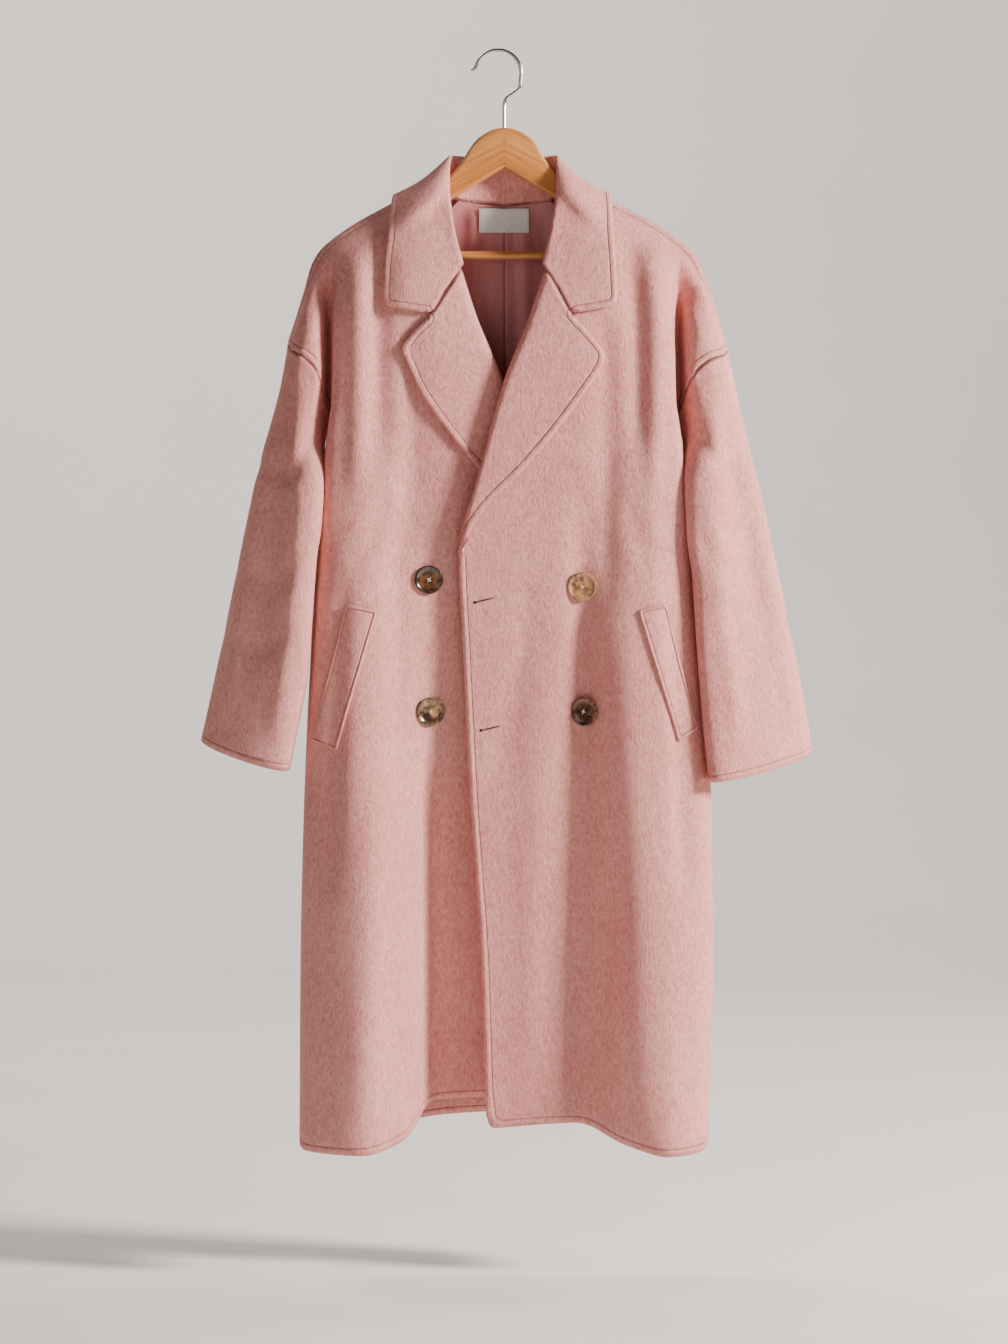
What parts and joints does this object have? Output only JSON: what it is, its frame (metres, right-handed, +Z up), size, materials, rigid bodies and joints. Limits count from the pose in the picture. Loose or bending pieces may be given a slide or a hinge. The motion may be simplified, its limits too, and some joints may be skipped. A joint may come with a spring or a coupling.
{
  "type": "double-breasted wool coat on a wooden hanger",
  "caption": "Long double-breasted wool coat with dropped shoulders, notched lapels and wide open sleeves, hanging from a wooden hanger with a steel hook.",
  "frame": {"origin": "inside of the hook's crown, the point where the hanger hangs on its support", "axes": "+Z up, -Y out of the front of the coat, +X towards the wearer's left"},
  "size_m": [0.7349, 0.1419, 1.3185],
  "materials": {
    "coat_wool": "brushed wool with a short laid nap, dusty pink",
    "lining_satin": "mauve satin, softly glossy",
    "label_satin": "silver-white satin ribbon, bare",
    "button_horn": "polished mottled brown horn look",
    "hanger_wood": "honey-coloured, clear satin lacquer",
    "hook_steel": "polished"
  },
  "bodies": {
    "root": {"back": "coat_wool", "button_1": "button_horn", "button_2": "button_horn", "button_3": "button_horn", "button_4": "button_horn", "collar": "coat_wool", "front_left": "coat_wool", "front_right": "coat_wool", "hanger_arms": "hanger_wood", "hanger_bar": "hanger_wood", "hanger_hook": "hook_steel", "lining": "lining_satin", "neck_label": "label_satin", "pocket_welt_left": "coat_wool", "pocket_welt_right": "coat_wool", "sleeve_left": "coat_wool", "sleeve_right": "coat_wool"}
  },
  "joints": []
}
